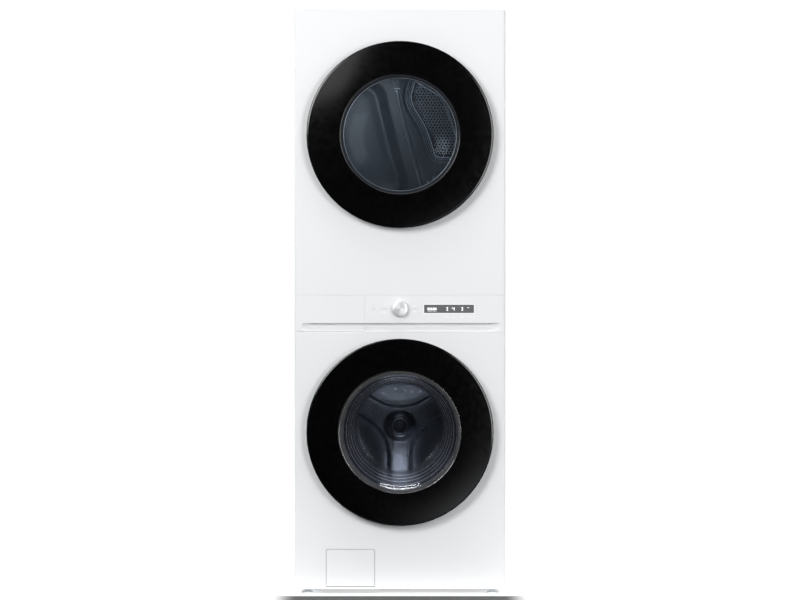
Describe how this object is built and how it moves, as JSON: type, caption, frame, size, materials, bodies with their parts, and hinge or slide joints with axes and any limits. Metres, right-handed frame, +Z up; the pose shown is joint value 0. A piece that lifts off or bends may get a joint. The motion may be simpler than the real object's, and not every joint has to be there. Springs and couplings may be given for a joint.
{
  "type": "washer dryer stack",
  "caption": "Full-size stacked laundry centre: a front-loading washer below and a vented dryer above in one white cabinet, with round black doors and one control band.",
  "frame": {"origin": "on the floor, at the centre of the outer box in width and depth", "axes": "+Z up, +X to the right seen from the front, +Y to the back; the doors face -Y"},
  "size_m": [0.686, 0.81, 1.89],
  "materials": {
    "white_enamel": "satin white enamel on sheet steel",
    "white_plastic": "satin white moulded plastic",
    "galvanised": "bare galvanised sheet",
    "stainless": "brushed stainless",
    "cast_aluminium": "as cast",
    "spun_aluminium": "spun face, anodised",
    "black_glass": "gloss black printed glass",
    "black_plastic": "fine grained black plastic",
    "clear_glass": "pressed clear glass",
    "smoked_glass": "smoked clear glass",
    "display_glass": "smoked display window",
    "grey_rubber": "soft grey rubber",
    "belt_rubber": "ribbed belt rubber",
    "tub_plastic": "filled polypropylene",
    "duct_plastic": "grey moulded plastic",
    "dark_plastic": "dark grey moulded plastic",
    "concrete": "cast concrete",
    "steel": "plain steel",
    "circuit_board": "solder mask",
    "copper_winding": "enamelled copper",
    "dryer_enamel": "dark grey enamel"
  },
  "bodies": {
    "cabinet": {"side_panels": "white_enamel", "top_panel": "white_enamel", "rear_panel": "galvanised", "base_frame": "galvanised", "levelling_feet": "white_plastic", "deck_plate": "galvanised", "washer_front_panel": "white_enamel", "dryer_front_panel": "white_enamel", "cabinet_screws": "steel", "terminal_cover": "duct_plastic", "water_connections": "white_plastic", "hinge_brackets": "steel", "hinge_pins": "steel", "door_locks": "dark_plastic", "control_panel": "white_plastic", "display_lens": "display_glass", "control_board": "circuit_board", "drawer_housing": "white_plastic", "drain_pump": "duct_plastic", "door_gasket": "grey_rubber", "suspension_springs": "steel", "dampers": "steel", "tub_hoses": "belt_rubber", "dryer_front_bulkhead": "dryer_enamel", "dryer_rear_bulkhead": "dryer_enamel", "dryer_vent_grille": "dark_plastic", "heater_duct": "galvanised", "drive_belt": "belt_rubber", "dryer_motor": "steel", "blower_housing": "duct_plastic", "exhaust_duct": "galvanised"},
    "tub": {"tub_front": "tub_plastic", "tub_rear": "tub_plastic", "counterweights": "concrete", "drum_bearings": "steel", "motor_stator": "copper_winding"},
    "washer_drum": {"washer_drum_shell": "stainless", "washer_drum_back": "stainless", "drum_spider": "cast_aluminium", "washer_lifters": "dark_plastic", "motor_rotor": "steel"},
    "washer_door": {"washer_door_ring": "black_glass", "washer_door_frame": "black_plastic", "washer_door_bowl": "clear_glass"},
    "dryer_door": {"dryer_door_ring": "black_glass", "dryer_door_frame": "black_plastic", "dryer_door_panes": "smoked_glass"},
    "detergent_drawer": {"drawer_front": "white_plastic", "drawer_tray": "white_plastic"},
    "drain_flap": {"drain_cover": "white_plastic"},
    "filter_plug": {"pump_filter_cap": "dark_plastic"},
    "selector": {"selector_knob": "spun_aluminium"},
    "dryer_drum": {"dryer_drum_shell": "dryer_enamel", "dryer_lifters": "dark_plastic"},
    "dryer_rotor": {"motor_shaft": "steel", "blower_wheel": "dark_plastic"},
    "roller_left": {"drum_roller_left": "belt_rubber"},
    "roller_right": {"drum_roller_right": "belt_rubber"},
    "idler": {"idler_pulley": "dark_plastic"},
    "lint_screen": {"lint_filter": "dark_plastic"}
  },
  "joints": [
    {"name": "washer_door_hinge", "type": "hinge", "parent": "cabinet", "child": "washer_door", "pos_m": [-0.292, -0.386, 0.5243], "axis": [0, 0, -1], "range_deg": [0, 115]},
    {"name": "dryer_door_hinge", "type": "hinge", "parent": "cabinet", "child": "dryer_door", "pos_m": [-0.292, -0.386, 1.4853], "axis": [0, 0, -1], "range_deg": [0, 115]},
    {"name": "drawer_slide", "type": "slide", "parent": "cabinet", "child": "detergent_drawer", "axis": [0, -1, 0], "range_m": [0, 0.25]},
    {"name": "drain_flap_hinge", "type": "hinge", "parent": "cabinet", "child": "drain_flap", "pos_m": [-0.16035, -0.36, 0.027], "axis": [1, 0, 0], "range_deg": [0, 85]},
    {"name": "filter_plug_turn", "type": "hinge", "parent": "cabinet", "child": "filter_plug", "pos_m": [-0.16, -0.33, 0.088], "axis": [0, -1, 0], "range_deg": [0, 180]},
    {"name": "selector_turn", "type": "hinge", "parent": "cabinet", "child": "selector", "pos_m": [0, -0.37, 0.924], "axis": [0, 1, 0], "continuous": true},
    {"name": "tub_float", "type": "slide", "parent": "cabinet", "child": "tub", "axis": [0, 0, 1], "range_m": [-0.012, 0.01], "stiffness_N_per_m": 30000, "springref_m": 0.01289, "deforming": ["suspension_springs", "dampers", "tub_hoses", "door_gasket"]},
    {"name": "washer_drum_spin", "type": "hinge", "parent": "tub", "child": "washer_drum", "pos_m": [0, 0, 0.5243], "axis": [0, 1, 0], "continuous": true},
    {"name": "dryer_drum_spin", "type": "hinge", "parent": "cabinet", "child": "dryer_drum", "pos_m": [0, 0, 1.4853], "axis": [0, 1, 0], "continuous": true},
    {"name": "dryer_rotor_spin", "type": "hinge", "parent": "cabinet", "child": "dryer_rotor", "pos_m": [0.18, 0, 1.058], "axis": [0, 1, 0], "continuous": true},
    {"name": "roller_left_spin", "type": "hinge", "parent": "cabinet", "child": "roller_left", "pos_m": [-0.15, 0.302, 1.1565], "axis": [0, 1, 0], "continuous": true},
    {"name": "roller_right_spin", "type": "hinge", "parent": "cabinet", "child": "roller_right", "pos_m": [0.15, 0.302, 1.1565], "axis": [0, 1, 0], "continuous": true},
    {"name": "idler_spin", "type": "hinge", "parent": "cabinet", "child": "idler", "pos_m": [0.09, -0.016, 1.075], "axis": [0, 1, 0], "continuous": true},
    {"name": "lint_screen_slide", "type": "slide", "parent": "cabinet", "child": "lint_screen", "axis": [0, 0, 1], "range_m": [0, 0.15]}
  ],
  "couplings": [
    {"joint": "dryer_rotor_spin", "follows": "dryer_drum_spin", "ratio": 27.167},
    {"joint": "roller_left_spin", "follows": "dryer_drum_spin", "ratio": -9.3143},
    {"joint": "roller_right_spin", "follows": "dryer_drum_spin", "ratio": -9.3143},
    {"joint": "idler_spin", "follows": "dryer_drum_spin", "ratio": 13.04}
  ]
}
